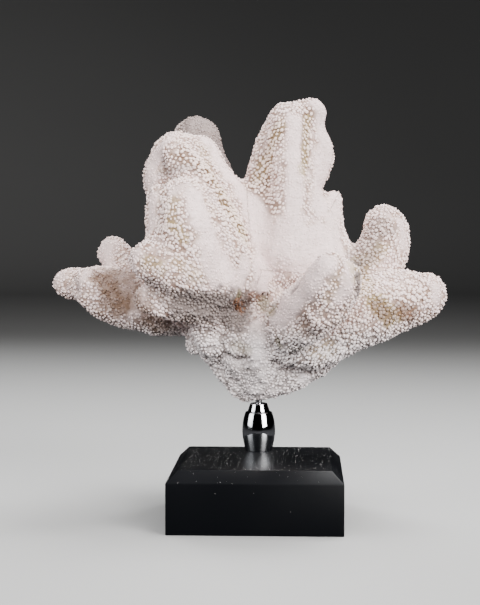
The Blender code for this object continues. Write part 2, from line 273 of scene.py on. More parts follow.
class CoralFinish(Finish):
    """Dry, matt, bleached skeleton: white wart tips, gaps between them in tan stain and painted shade, stains, and
    painted shade where shade and shadows fall.
    """

    name = "coral_skeleton"
    tones = CoralTones()
    foot_start, foot_full = 122 * MM, 100 * MM
    pore_spacing = 1.1 * MM
    grain_depth = 0.14 * MM
    wrinkle_strength = 5.0

    def sockets(self) -> dict[str, Any]:
        """Returns the shader's colour, roughness and normal."""
        board, place = self.board, self.place
        self.wart, self.calm, self.bold = (self.attribute(name) for name in ("wart", "calm", "bold"))
        self.gap = self.wart.ramp(0.8, 0.1)
        self.blotch = board.noise(place, 4.5 * MM, 2, 0.6).ramp(0.36, 0.64)
        self.low = board.part(place, "Z").ramp(self.foot_start, self.foot_full)
        cells = {"Vector": place, "Scale": 1 / self.pore_spacing}
        self.pores = board.add("ShaderNodeTexVoronoi", {}, cells).ramp(0.28, 0.1)
        grain = board.noise(place, 0.9 * MM, 2, 0.7) * (1 - self.calm * 0.5)
        relief = grain + self.pores * -0.6 + self.wrinkles() * self.calm * self.wrinkle_strength
        return {
            "Base Color": self.stained(self.bare_color()),
            "Roughness": 0.95 - self.wart * 0.1,
            "Specular IOR Level": 0.2,
            "Normal": self.bump(relief, self.grain_depth),
        }

    def bare_color(self) -> Value:
        """Returns the colour without stains: pale warts and smooth faces, gaps darkened by tan stain and painted
        shade, and grey towards the foot.
        """
        board, tones, place = self.board, self.tones, self.place
        cream = (board.noise(place, 3.2 * MM, 1).ramp(0.42, 0.62) * 0.6).at_least(self.bold * 0.8)
        warts = board.mix_colors(cream, tones.wart_tip, tones.cream)
        mottle = board.noise(place, 1.9 * MM, 3, 0.65).ramp(0.46, 0.66) * 0.55
        smooth = board.mix_colors(mottle, tones.bleached, tones.faint)
        color = board.mix_colors(self.calm, warts, smooth)
        color = board.mix_colors(self.low * 0.8, color, tones.chalk)
        # The gaps between the warts darken, partly as a tan stain and partly as painted shade.
        drift = board.noise(place, 45 * MM, 3).ramp(0.35, 0.65)
        strength = (0.45 + self.blotch * 0.4 + drift * 0.15).at_least(self.bold)
        between = board.mix_colors(self.low * 0.8, tones.between, tones.ash)
        color = board.mix_colors(self.gap * (1 - self.calm * 0.88) * strength, color, between)
        # Bold bands get deeper painted shade in their gaps.
        return board.mix_colors(self.gap * self.bold, color, tones.deep)

    def stained(self, color: Value) -> Value:
        """Returns a colour with the stains, painted shade in hollows and pores, and the holes' painted shade laid over
        it in turn.
        """
        board, place = self.board, self.place
        # Painted shade in the hollows of the crags near the foot.
        crag_hollow_shade = board.noise(place, 6 * MM, 3, 0.6).ramp(0.5, 0.36) * self.low * (1 - self.calm)
        ragged = board.noise(place, 2.8 * MM, 3, 0.7).ramp(0.38, 0.56)
        # Painted shade in the pores, in patches.
        pore_shade = self.pores * board.noise(place, 12 * MM, 2).ramp(0.5, 0.62) * 0.5
        layers = (
            ("ochre", self.attribute("ochre") * (0.35 + self.wart.ramp(0.9, 0.1) * 0.65)),
            # Tan stain, which in the left arm's hollow and under the fingers is also painted shade.
            ("tan", self.attribute("tan") * (0.8 + self.blotch * 0.2)),
            # Painted shade from the strokes, and painted shade in the crags' hollows near the foot.
            ("shade", (self.attribute("shade") * 0.9).at_least(crag_hollow_shade * 0.22)),
            ("olive", self.attribute("olive")),
            ("rust", self.attribute("rust") * ragged),
            ("shade", pore_shade),
            # The holes' near-black colour is painted shade inside them.
            ("hole", self.attribute("pit").ramp(0.3, 0.7)),
        )
        for tone, cover in layers:
            color = board.mix_colors(cover, color, getattr(self.tones, tone))
        return color

    def wrinkles(self) -> Value:
        """Returns the faint level wrinkles of the smooth faces."""
        flat = self.board.add("ShaderNodeMapping", {}, {"Vector": self.place, "Scale": (0.45, 0.45, 1.6)})
        return self.board.noise(flat, 2.2 * MM, 2, 0.6)


class AcrylicFinish(Finish):
    """Black acrylic with a satin gloss, faint ripples and a thin film of dust."""

    name = "black_acrylic"
    clean: Color = (0.002, 0.0023, 0.003)
    dusty: Color = (0.50, 0.53, 0.6)
    film_cover = 0.006
    ripple_depth = 0.01 * MM

    def sockets(self) -> dict[str, Any]:
        """Returns the shader's colour, roughness and normal."""
        board, place = self.board, self.place
        film = board.noise(place, 50 * MM, 2, 0.5).ramp(0.3, 0.75)
        lying = board.part(board.add("ShaderNodeNewGeometry", output="Normal"), "Z").ramp(0.3, 0.9)
        ripple = board.noise(place, 11 * MM, 2, 0.5)
        return {
            "Base Color": board.mix_colors(lying * (0.5 + film * 0.5) * self.film_cover, self.clean, self.dusty),
            "Roughness": 0.34 + film * 0.06,
            "Specular IOR Level": 0.22,
            "Normal": self.bump(ripple, self.ripple_depth),
        }


class DriftFinish(Finish):
    """A finish that drifts between two tones, and often between two roughnesses with them.

    Its pattern is the size, detail and roughness of the noise, its stretch scales the pattern along each axis, and
    its edges sharpen it. The constants go on the shader as they are.
    """

    tones: tuple[Color, Color]
    pattern: tuple[float, ...]
    stretch: tuple[float, float, float] | None = None
    edges: tuple[float, float] | None = None
    roughness, rougher = 0.9, 0.0
    constants: dict[str, float] = {}

    def sockets(self) -> dict[str, Any]:
        """Returns the shader's colour, roughness and constants."""
        place = self.place
        if self.stretch:
            place = self.board.add("ShaderNodeMapping", {}, {"Vector": place, "Scale": self.stretch})
        drift = self.board.noise(place, *self.pattern)
        if self.edges:
            drift = drift.ramp(*self.edges)
        return {
            "Base Color": self.board.mix_colors(drift, *self.tones),
            "Roughness": self.roughness + drift * self.rougher if self.rougher else self.roughness,
            **self.constants,
        }


class ChromeFinish(DriftFinish):
    """Polished chrome plate with faint smears."""

    name = "polished_chrome"
    tones = ((0.86, 0.87, 0.90), (0.78, 0.79, 0.82))
    pattern, edges = (6 * MM, 3, 0.6), (0.45, 0.7)
    roughness, rougher = 0.035, 0.06
    constants = {"Metallic": 1.0}


class SteelFinish(DriftFinish):
    """Plain drawn steel, for the pin."""

    name = "pin_steel"
    tones = ((0.62, 0.62, 0.64), (0.75, 0.75, 0.78))
    pattern, stretch = (0.6 * MM, 2), (1.0, 1.0, 0.05)
    roughness, rougher = 0.14, 0.14
    constants = {"Metallic": 1.0}


class DustFinish(DriftFinish):
    """White crumbs that have fallen from the coral."""

    name = "coral_dust"
    tones = ((0.84, 0.83, 0.82), (0.68, 0.66, 0.64))
    pattern, edges = (4 * MM, 1), (0.4, 0.6)
    rougher = 0.05


class PaperFinish(DriftFinish):
    """Plain pale paper for the floor."""

    name = "pale_floor"
    tones = ((0.40, 0.40, 0.395), (0.43, 0.43, 0.425))
    pattern = (0.6, 2)


class UnderlayFinish(DriftFinish):
    """The dark underlay of the paper, which throws little light back."""

    name = "dark_underlay"
    tones = ((0.022, 0.022, 0.023), (0.028, 0.028, 0.03))
    pattern = (0.6, 2)
    constants = {"Specular IOR Level": 0.0}


class GeometryTree:
    """A Geometry Nodes tree with named inputs, put on an object and turned to a plain mesh."""

    kinds: ClassVar[dict[type, str]] = {
        float: "NodeSocketFloat", int: "NodeSocketInt", tuple: "NodeSocketVector", type(None): "NodeSocketObject",
    }

    def __init__(self, name: str, inputs: dict[str, Any]) -> None:
        """Makes the tree.

        Args:
            name: the tree's name.
            inputs: each input's value, by name. None stands for an object that is given when the tree is applied.
        """
        self.tree = bpy.data.node_groups.new(name, "GeometryNodeTree")
        self.board = Board(self.tree)
        self.tree.interface.new_socket("Geometry", in_out="INPUT", socket_type="NodeSocketGeometry")
        self.tree.interface.new_socket("Geometry", in_out="OUTPUT", socket_type="NodeSocketGeometry")
        self.settings = {}
        for label, value in inputs.items():
            socket = self.tree.interface.new_socket(label, in_out="INPUT", socket_type=self.kinds[type(value)])
            self.settings[label] = (socket.identifier, value)
        self.source = self.board.add("NodeGroupInput")

    def input(self, name: str) -> Value:
        """Returns one of the tree's named inputs."""
        return self.board.output_of(self.source, name)

    def mesh_of(self, name: str) -> Value:
        """Returns the geometry of the object that a named input gives."""
        return self.board.add("GeometryNodeObjectInfo", {}, {"Object": self.input(name)}, "Geometry")

    def finish(self, geometry: Value, material: Material) -> None:
        """Ends the tree in realized instances with their material."""
        real = self.board.add("GeometryNodeRealizeInstances", {}, {"Geometry": geometry})
        dressed = self.board.add("GeometryNodeSetMaterial", {}, {"Geometry": real, "Material": material})
        self.board.add("NodeGroupOutput", {}, {0: dressed})

    def apply(self, piece: Piece, name: str, **changes: Any) -> Mesh:
        """Evaluates the tree on an object.

        Args:
            piece: the object whose mesh is the tree's input.
            name: the new mesh's name.
            changes: other values for named inputs, with spaces as underscores.

        Returns:
            A plain mesh of the result. The modifier is removed.
        """
        modifier = piece.modifiers.new(self.tree.name, "NODES")
        modifier.node_group = self.tree
        for label, (identifier, value) in self.settings.items():
            modifier[identifier] = changes.get(label.replace(" ", "_"), value)
        mesh = plain_mesh(piece, name)
        piece.modifiers.remove(modifier)
        return mesh


def inputs_of(sizes: Any, *names: str) -> dict[str, Any]:
    """Returns these fields' values under the labels that they have as a tree's inputs."""
    return {name.replace("_", " ").capitalize(): getattr(sizes, name) for name in names}


def plain_mesh(piece: Piece, name: str) -> Mesh:
    """Returns a mesh of the object with its modifiers applied."""
    bpy.context.view_layer.update()
    graph = bpy.context.evaluated_depsgraph_get()
    evaluated = piece.evaluated_get(graph)
    mesh = bpy.data.meshes.new_from_object(evaluated, preserve_all_data_layers=True, depsgraph=graph)
    mesh.name = name
    return mesh


def new_object(name: str, data: Any, material: Material | None = None) -> Piece:
    """Returns a new object at the origin, of a mesh, a light or the camera, with its material if it has one."""
    piece = bpy.data.objects.new(name, data)
    bpy.context.scene.collection.objects.link(piece)
    if material:
        data.materials.clear()
        data.materials.append(material)
    return piece


def settle(piece: Piece, slot: str, *nodes: str) -> None:
    """Fixes a finished piece to the frame and reports it.

    Args:
        piece: the object.
        slot: not used.
        nodes: the solids that it stands for.
    """
    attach(piece, BODY)
    if nodes:
        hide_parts(*nodes)
    LOG.info("%s: %d faces", piece.name, len(piece.data.polygons))


@dataclass
class PhotoCamera:
    """The camera that took the reference view, and its rays."""

    place: Vector = Vector((0.0261, -0.8698, 0.1779))
    left_turn: float = math.radians(2.39)
    down_tilt: float = math.radians(3.30)
    focal_pixels: float = 1487.4
    sensor: float = 36.0

    @property
    def turn(self) -> Matrix:
        """The camera's rotation."""
        flat, drop = math.cos(self.down_tilt), math.sin(self.down_tilt)
        view = Vector((-math.sin(self.left_turn) * flat, math.cos(self.left_turn) * flat, -drop))
        return view.to_track_quat("-Z", "Y").to_matrix()

    def ray(self, pixel: Pixel) -> Vector:
        """Returns the direction in which the camera sees a pixel of the reference frame."""
        width, height = PHOTO_SIZE
        across, down = pixel[0] - width / 2, pixel[1] - height / 2
        return (self.turn @ Vector((across, -down, -self.focal_pixels))).normalized()

    def build(self) -> None:
        """Adds the camera to the scene."""
        data = bpy.data.cameras.new("camera")
        data.sensor_width = self.sensor
        data.lens = self.focal_pixels / max(PHOTO_SIZE) * self.sensor
        camera = new_object("camera", data)
        camera.location = self.place
        camera.rotation_euler = self.turn.to_euler()
        bpy.context.scene.camera = camera


class Mark(Enum):
    """What a trace leaves on the coral's surface."""

    CALM = "calm"
    OCHRE = "ochre"
    # A tan stain, which in some hollows is also painted shade.
    TAN = "tan"
    RUST = "rust"
    # Painted shade and painted shadow.
    SHADE = "shade"
    OLIVE = "olive"
    ROWS = "rows"
    # Larger warts, with deeper painted shade in their gaps.
    BOLD = "bold"
    # A hole: sunk, and painted near black as the shade inside it.
    PIT = "pit"
    RELIEF = "relief"


@dataclass(frozen=True)
class Trace:
    """A soft-edged stroke on the coral, where the camera sees these pixels of the reference frame.

    Args:
        what: what it is, in words.
        mark: what it leaves.
        pixels: the stroke's points.
        reach: how far it spreads to each side, in millimetres.
        strength: from 0 to 1, or the height in millimetres where it shapes the relief.
    """

    what: str
    mark: Mark
    pixels: tuple[Pixel, ...]
    reach: float
    strength: float = 1.0


STROKES: dict[Mark, tuple[tuple, ...]] = {
    Mark.CALM: (
        ("pad's right face", 9.5, 1, (197, 197), (205, 224), (216, 250), (229, 276)),
        ("pad's lower right", 7, 0.85, (204, 245), (216, 282)),
        ("pad's left rim", 4.5, 0.8, (152, 196), (149, 228)),
        ("pad's top", 5, 0.6, (172, 190), (192, 186)),
        ("left tower's right face", 5.5, 1, (207, 140), (221, 162), (238, 184), (250, 204), (260, 226)),
        ("left tower's left side", 7, 0.8, (164, 142), (152, 162), (149, 182)),
        ("left tower's top", 5, 0.6, (172, 134), (192, 128)),
        ("rear left tower", 14, 0.6, (206, 122), (215, 142), (222, 152)),
        ("centre tower's middle column", 8, 0.95, (294, 122), (295, 150), (294, 200), (290, 240)),
        ("centre tower's right column", 10, 1, (322, 108), (326, 130), (328, 150), (322, 174), (320, 205)),
        ("right knob", 9, 0.9, (338, 198), (336, 225)),
        ("wall under the saddle", 10, 1, (254, 208), (268, 236), (262, 284)),
        ("wall by the pad", 6, 0.9, (246, 262), (240, 286)),
        ("wall under the centre tower", 16, 1, (282, 235), (300, 260), (318, 240)),
        ("wall by the right finger", 9, 0.9, (334, 222), (338, 252)),
        ("front finger's upper face", 8, 0.95, (330, 262), (310, 284), (290, 308), (274, 322)),
        ("front finger's upper edge", 6, 0.95, (322, 258), (302, 280), (284, 300)),
        ("front finger's right face", 5.5, 0.8, (350, 266), (347, 284), (340, 302)),
        ("trunk's front column", 8, 0.7, (257, 326), (256, 342), (260, 360), (258, 378), (260, 392)),
        ("pale spot on the trunk", 4, 1, (303, 380), (310, 382)),
        ("trunk's left face", 9, 0.4, (230, 366), (240, 380), (246, 392)),
        ("foot", 6, 0.4, (262, 400), (276, 394)),
        ("left arm's streaks", 12, 0.4, (106, 276), (118, 292), (132, 306)),
        ("left arm by the chin", 7, 0.6, (124, 276), (130, 296), (140, 312)),
        ("upper right finger's edge", 5, 0.8, (402, 222), (405, 246)),
        ("lower right finger's tip", 5, 0.7, (436, 286), (438, 302)),
        ("left arm's tip", 6, 0.5, (57, 274), (54, 284)),
        ("left arm's bulge", 4, 0.5, (88, 271), (78, 284), (77, 296)),
        ("chin's edge", 5, 0.7, (136, 252), (136, 276)),
        ("lower finger's edge", 5, 0.6, (141, 290), (142, 302)),
        ("rear left finger", 10, 0.8, (104, 246), (102, 262)),
    ),
    # Painted shade and painted shadow: darker where shade falls in hollows and creases, under overhangs, and where
    # other branches cast their shadow.
    Mark.SHADE: (
        ("rear left tower in the shade", 26, 0.85, (202, 122), (210, 129), (216, 140), (221, 150)),
        ("upper right finger in the shade", 12, 0.5, (358, 258), (368, 242), (376, 228)),
        ("centre tower in the valley", 5, 0.22, (252, 178), (258, 160), (264, 142)),
        ("left arm's crease", 3.5, 0.5, (76, 272), (74, 282), (76, 291)),
        ("under the pad", 15, 1, (188, 306), (206, 308), (222, 306), (236, 312)),
        ("under the chin", 10, 0.6, (154, 288), (172, 295), (196, 301), (214, 302)),
        ("lower finger's root", 10, 0.7, (170, 300), (186, 308), (200, 314)),
        ("over the trunk's left", 8, 0.55, (200, 318), (216, 322)),
        ("left tower over the pad", 3, 0.45, (160, 172), (172, 169), (186, 167), (195, 169)),
        ("left tower's fold", 3.2, 0.55, (161, 158), (165, 172), (163, 184)),
        ("beside the front finger", 2.4, 0.75, (302, 276), (296, 286), (290, 292)),
        ("under the front finger", 7, 0.35, (302, 322), (308, 336)),
        ("front finger's right crevice", 3.0, 1, (357, 264), (359, 276), (359, 294)),
        ("trunk's right hollow", 9, 0.15, (290, 352), (305, 362), (296, 372)),
        ("trunk's left hollow", 6, 0.35, (236, 366), (250, 372)),
        ("lip on the trunk", 1.6, 0.9, (226, 353), (234, 358), (245, 357)),
        ("groove left of the column", 2.2, 0.6, (225, 320), (223, 346)),
    ),
    # Bold bands: larger warts, with deeper painted shade in the gaps between them.
    Mark.BOLD: (
        ("left tower's band", 9, 1, (205, 166), (222, 190), (234, 212), (242, 234)),
        ("left tower's band, its top", 9, 0.68, (186, 156), (205, 166)),
        ("centre tower's left flank", 8, 0.75, (258, 182), (266, 160), (278, 128)),
        ("centre tower's left flank, its foot", 6, 0.5, (260, 180), (266, 194), (272, 208)),
        ("centre tower's groove", 5, 0.7, (310, 112), (307, 140), (305, 160)),
        ("pad's left face", 10, 0.3, (168, 206), (170, 228), (184, 250)),
        ("upper right finger's face", 11, 0.34, (360, 268), (372, 246), (382, 232)),
        ("lower right finger's face", 10, 0.34, (382, 304), (404, 300), (418, 294)),
        ("trunk's right face", 12, 0.3, (284, 362), (306, 358), (330, 350), (352, 338)),
    ),
    Mark.OCHRE: (
        ("pad's ochre", 4.5, 0.6, (172, 226), (180, 232), (184, 238)),
        ("pad's upper ochre", 5, 0.35, (174, 200), (172, 216)),
        ("foot of the tower's band", 3, 0.9, (242, 230), (246, 242)),
        ("tower's band", 8, 0.3, (205, 150), (222, 190), (238, 225)),
        ("centre tower's left flank", 6, 0.4, (258, 176), (268, 155), (280, 125)),
        ("centre tower's groove", 3.5, 0.6, (309, 118), (306, 150), (303, 172)),
        ("chin", 6, 0.5, (146, 262), (160, 268)),
        ("lower pad", 5, 0.35, (176, 262), (200, 280)),
        ("front finger's ridge", 4.5, 0.2, (340, 275), (326, 300)),
        ("upper right finger", 8, 0.5, (358, 272), (368, 260), (380, 250)),
        ("lower right finger", 8, 0.85, (377, 302), (385, 312), (394, 316)),
        ("trunk's right", 8, 0.3, (300, 350), (330, 352)),
        ("between the right fingers", 7, 0.6, (362, 262), (366, 290)),
    ),
    # Tan stain; in the left arm's hollow and under the fingers it is also painted shade.
    Mark.TAN: (
        ("left arm's hollow", 14, 0.72, (118, 276), (128, 290), (136, 306), (156, 322)),
        ("left arm's brown core", 11, 0.95, (104, 280), (110, 290), (120, 303)),
        ("upper right finger's brown", 7, 0.35, (362, 266), (372, 256)),
        ("lower right finger's brown", 6, 0.8, (379, 308), (387, 316)),
        ("under the lower finger", 7, 0.5, (160, 320), (190, 322)),
        ("under the front finger", 6, 0.4, (302, 324), (307, 334)),
        ("orange stain's tan", 3.5, 0.35, (240, 304), (256, 297)),
        ("lower finger's rust's tan", 7, 0.8, (402, 311), (410, 314)),
    ),
    Mark.RELIEF: (
        ("left arm's crease", 5, -2.2, (76, 270), (74, 282), (76, 292)),
        ("left arm's bulge", 8, 1.2, (89, 272), (88, 284), (92, 296)),
        ("left tower's fold", 4, -1.6, (160, 156), (164, 170), (163, 184)),
        ("beside the front finger", 3.5, -1.8, (302, 276), (296, 286), (290, 292)),
        ("front finger's right crevice", 3.5, -2, (358, 272), (358, 292)),
        ("under the front finger", 7, -2, (304, 322), (310, 338)),
        ("groove left of the column", 3.5, -2, (225, 320), (223, 346)),
        ("lip on the trunk", 3, 1.4, (228, 349), (238, 353), (247, 353)),
        ("under the lip", 3, -1.8, (226, 357), (236, 361), (246, 360)),
        ("pit by the column", 4, -2.4, (276, 341), (278, 348)),
        ("hollow under the wall", 6, -2.2, (264, 302), (272, 308)),
    ),
    Mark.RUST: (
        ("red-brown stain", 4.2, 1, (239, 303), (241, 308)),
        ("orange stain", 4, 0.7, (253, 295), (259, 300)),
        ("lower finger's rust", 4.5, 0.45, (403, 312), (410, 315)),
    ),
    Mark.OLIVE: (
        ("olive spot", 2.8, 0.85, (240, 293), (240, 296)),
        ("olive hollow", 6, 0.7, (265, 304), (272, 310)),
        ("olive pit", 3, 0.7, (276, 341), (278, 348)),
        ("olive patch", 5, 0.45, (237, 346), (246, 350)),
    ),
    Mark.ROWS: (
        ("trunk's left rows", 11, 1, (228, 370), (248, 398)),
        ("trunk's right rows", 12, 1, (292, 362), (328, 362)),
        ("pad's lower rows", 9, 0.8, (186, 262), (205, 286)),
        ("towers' rows", 8, 0.4, (226, 205), (243, 238)),
    ),
    # Holes: sunk into the skin and painted near black, as the shade inside them.
    Mark.PIT: (
        ("left black hole", 1.5, 1, (264.5, 295)),
        ("right black hole", 1.3, 1, (270, 293.5)),
        ("lower black hole", 1.3, 1, (269, 298.5)),
        ("hole at the top", 0.9, 1, (315, 102)),
        ("second hole at the top", 0.9, 1, (302, 110)),
        ("hole in the right column", 0.9, 1, (316, 168)),
    ),
}
TRACES = tuple(
    Trace(what, mark, tuple(pixels), reach, strength)
    for mark, strokes in STROKES.items() for what, reach, strength, *pixels in strokes
)


@dataclass
class Forks:
    """Where each branch parts from the rest, in the order in which they are cut free, as the solids are.

    A plane is a point on it, in millimetres, and the direction in which the branch lies. A branch lies beyond all of
    its planes, and what is left is the trunk.
    """

    front_finger: tuple = (
        ((20, -12, 118), (0.53, -0.71, 0.46)), ((4, 0, 120), (1, -0.1, 0)), ((35, -9, 115), (-0.45, -0.89, 0)),
    )
    left_pad: tuple = (
        ((-43, -1, 198), (-0.146, -0.963, -0.223)), ((-32, 1, 116), (0, -0.5, 0.86)),
        ((-1, 5, 135), (-0.95, 0.05, 0.3)), ((-50, 4, 135), (0.25, -0.97, 0)),
    )
    right_lower_finger: tuple = (((50, 15, 116), (0.93, -0.1, 0.33)), ((66, 23, 135), (0.1, -0.66, -0.74)))
    right_upper_finger: tuple = (
        ((56, 30, 133), (0.6, 0.15, 0.78)), ((53, 32, 150), (0.97, 0, -0.2)), ((60, 49, 135), (0.35, -0.85, 0.4)),
    )
    rear_right_finger: tuple = (((36, 58, 118), (0.6, 0.75, 0.3)), ((24, 58, 125), (0.88, -0.1, -0.35)))
    rear_left_finger: tuple = (
        ((-28, 60, 120), (-0.6, 0.75, 0.3)), ((-58, 56, 138), (0.3, 0.95, 0)),
        ((-33, 64, 158), (-0.42, 0.51, -0.75)), ((-17, 58, 122), (-0.93, -0.1, -0.3)),
    )
    left_arm: tuple = (((-46, 27, 120), (-0.98, -0.1, 0.1)), ((-62, 30, 168), (-0.5, 0, -0.86)))
    rear_middle_finger: tuple = (((3, 68, 126), (0, 0.83, 0.55)), ((10, 80, 160), (-0.1, 0.62, -0.78)))
    rear_left_tower: tuple = (
        ((-28, 56, 205), (-0.1, 0.98, -0.13)), ((-11, 45, 165), (-0.95, -0.1, 0.27)),
        ((-10, 44, 150), (-0.35, 0.25, 0.9)),
    )
    rear_tower: tuple = (((0, 59, 165), (0.05, 1, 0)), ((11, 60, 142), (0, 0.3, 0.95)))
    left_tower: tuple = (((-8, 32, 198), (-0.99, 0, -0.1)), ((-10, 25, 142), (-0.15, -0.1, 0.98)))
    centre_tower: tuple = (((20, 30, 145), (0.1, 0, 1)),)

    half_kerf: ClassVar[float] = 0.2
    zone_side: ClassVar[float] = 900.0
    trunk: ClassVar[str] = "coral_trunk"

    def planes(self) -> dict[str, list[tuple[Vector, Vector]]]:
        """Returns each branch's planes, in metres, halfway into the hairline gap between the solids."""
        cuts = {}
        for fork in fields(self):
            cuts["coral_" + fork.name] = []
            for point, direction in getattr(self, fork.name):
                along = Vector(direction).normalized()
                cuts["coral_" + fork.name].append(((Vector(point) - along * self.half_kerf) * MM, along))
        return cuts

    def names(self) -> list[str]:
        """Returns the nodes of the coral, in the order in which they are cut, and the trunk last."""
        return [*self.planes(), self.trunk]

    def owners(self, points: np.ndarray) -> np.ndarray:
        """Returns for each point the place in names of the branch that it lies in."""
        owner = np.full(len(points), len(self.planes()), np.int32)
        for index, planes in reversed(list(enumerate(self.planes().values()))):
            beyond = [(points - np.array(at)) @ np.array(along) > 0 for at, along in planes]
            owner[np.all(beyond, axis=0)] = index
        return owner

    def split(self, whole: Piece) -> Iterator[tuple[str, Piece]]:
        """Yields each branch's name and its closed piece of the whole."""
        rest = whole
        for name, planes in self.planes().items():
            zone = self.zone(planes)
            yield name, crossed(rest, zone, "INTERSECT", name + "_skin")
            left = crossed(rest, zone, "DIFFERENCE", "coral_rest")
            discard(rest, zone)
            rest = left
        yield self.trunk, rest

    def zone(self, planes: list[tuple[Vector, Vector]]) -> Piece:
        """Returns the closed space beyond all these planes."""
        bm = bmesh.new()
        bmesh.ops.create_cube(bm, size=self.zone_side * MM)
        for at, along in planes:
            geom = [*bm.verts, *bm.edges, *bm.faces]
            bmesh.ops.bisect_plane(bm, geom=geom, plane_co=at, plane_no=along, clear_inner=True)
            bmesh.ops.holes_fill(bm, edges=bm.edges, sides=0)
        bmesh.ops.recalc_face_normals(bm, faces=bm.faces)
        return new_object("zone", mesh_from(bm, "zone"))


def mesh_from(bm: bmesh.types.BMesh, name: str) -> Mesh:
    """Returns the bmesh as a mesh, and frees it."""
    mesh = bpy.data.meshes.new(name)
    bm.to_mesh(mesh)
    bm.free()
    return mesh


def crossed(piece: Piece, tool: Piece, operation: str, name: str) -> Piece:
    """Returns a new object: this piece cut or crossed by the tool, both of them closed."""
    boolean = piece.modifiers.new("Cut", "BOOLEAN")
    boolean.operation, boolean.solver, boolean.object = operation, "MANIFOLD", tool
    result = new_object(name, plain_mesh(piece, name))
    piece.modifiers.remove(boolean)
    return result


def discard(*pieces: Piece) -> None:
    """Removes helper objects."""
    for piece in pieces:
        bpy.data.objects.remove(piece, do_unlink=True)


@dataclass
class CoralSkin:
    """The coral's outside: one smooth skin over all branches, parted at the forks and covered in warts."""

    weld: float = 0.02 * MM
    closing: float = 0.35 * MM
    voxel: float = 1.3 * MM
    smoothing: int = 8
    inset: float = 0.95 * MM
    calm_inset: float = 0.25 * MM
    pit_depth: float = 2.2 * MM
    swell_size: float = 9 * MM
    swell_height: float = 1.7 * MM
    crag_size: float = 6 * MM
    crag_height: float = 5.0 * MM
    crag_start: float = 118 * MM
    crag_full: float = 98 * MM
    under_crags: float = 0.4
    ragged_size: float = 6 * MM
    raggedness: float = 0.45
    cut_angle: float = math.radians(62)
    wart_spacing: float = 1.6 * MM
    wart_density: float = 800000.0
    wart_radius: float = 1.02 * MM
    wart_height: float = 1.05 * MM
    wart_sides: int = 6
    bold_start: float = 0.35
    bold_spacing: float = 2.05 * MM
    bold_growth: float = 0.48
    bold_rise: float = 0.5
    bold_evenness: float = 0.45
    calm_narrowing: float = 0.35
    calm_lowering: float = 0.78
    missing: float = 0.04
    calm_missing: float = 0.3
    unevenness: float = 0.42
    height_unevenness: float = 0.4
    length: float = 1.1
    width: float = 0.95
    row_stretch: float = 0.25
    row_squeeze: float = 0.1
    lean: float = 0.45
    root: tuple[float, float, float] = (0.0, 0.028, 0.080)
    seed: int = 7

    def build(self, camera: PhotoCamera) -> None:
        """Builds and dresses the whole coral."""
        forks = Forks()
        finish = CoralFinish().material
        smooth = self.closed_skin()
        self.mark(smooth.data, camera)
        skin = new_object("inset_skin", self.insetter(finish).apply(smooth, "inset_skin"))
        self.label(skin.data, forks)
        wart = new_object("wart", self.wart_mesh())
        warts = new_object("warts", self.scatterer(finish).apply(skin, "warts", Wart=wart))
        dresser = self.dresser(finish)
        for name, piece in forks.split(skin):
            piece.data.set_sharp_from_angle(angle=self.cut_angle)
            mesh = dresser.apply(piece, name + "_skin", Branch=forks.names().index(name), Warts=warts)
            discard(piece)
            settle(new_object(name + "_skin", mesh), "coral", name)
        discard(smooth, wart, warts)

    def closed_skin(self) -> Piece:
        """Returns one smooth, even skin over all the branches, without the gaps between them."""
        bm = bmesh.new()
        for name in Forks().names():
            bm.from_mesh(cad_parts[name].data)
        bmesh.ops.remove_doubles(bm, verts=bm.verts, dist=self.weld)
        joined = new_object("coral_skin", mesh_from(bm, "coral_skin"))
        swell = joined.modifiers.new("Close the gaps", "DISPLACE")
        swell.strength, swell.mid_level = self.closing, 0.0
        even = joined.modifiers.new("Even skin", "REMESH")
        even.mode, even.voxel_size = "VOXEL", self.voxel
        smooth = joined.modifiers.new("Round the facets", "SMOOTH")
        smooth.iterations = self.smoothing
        shrink = joined.modifiers.new("Back to size", "DISPLACE")
        shrink.strength, shrink.mid_level = -self.closing, 0.0
        skin = new_object("smooth_skin", plain_mesh(joined, "smooth_skin"))
        discard(joined)
        return skin

    @staticmethod
    def label(mesh: Mesh, forks: Forks) -> None:
        """Gives each face the number of the branch that it lies in."""
        centres = np.array([face.center for face in mesh.polygons])
        layer = mesh.attributes.new("branch", "INT", "FACE")
        layer.data.foreach_set("value", forks.owners(centres))

    def mark(self, mesh: Mesh, camera: PhotoCamera) -> None:
        """Stores at each point how strongly each kind of mark shows there, and shapes what the marks raise or sink."""
        points = np.zeros(len(mesh.vertices) * 3, np.float32)
        mesh.vertices.foreach_get("co", points)
        points = points.reshape(-1, 3)
        faces = [tuple(face.vertices) for face in mesh.polygons]
        tree = BVHTree.FromPolygons([vert.co for vert in mesh.vertices], faces)
        dimension, lacunarity, octaves = 0.7, 2.4, 2
        ragged = np.array([noise.fractal(vert.co / self.ragged_size, dimension, lacunarity, octaves)
                           for vert in mesh.vertices])
        layers = {mark: np.zeros(len(points), np.float32) for mark in Mark}
        for trace in TRACES:
            hits = [tree.ray_cast(camera.place, camera.ray(pixel))[0] for pixel in trace.pixels]
            line = [np.array(hit) for hit in hits if hit is not None]
            if not line:
                LOG.warning("%s misses the coral", trace.what)
                continue
            away = distance_to_line(points, line) / (trace.reach * MM)
            near = np.clip(1 - away * (1 + self.raggedness * ragged), 0, 1)
            if trace.mark is not Mark.RELIEF:
                # The inner half of a stroke shows at its full strength.
                near = np.minimum(near * 2, 1)
            soft = near * near * (3 - 2 * near) * trace.strength
            grown = np.where(np.abs(soft) > np.abs(layers[trace.mark]), soft, layers[trace.mark])
            layers[trace.mark] = layers[trace.mark] + soft if trace.mark is Mark.RELIEF else grown
        for mark, values in layers.items():
            layer = mesh.attributes.new(mark.value, "FLOAT", "POINT")
            layer.data.foreach_set("value", values)

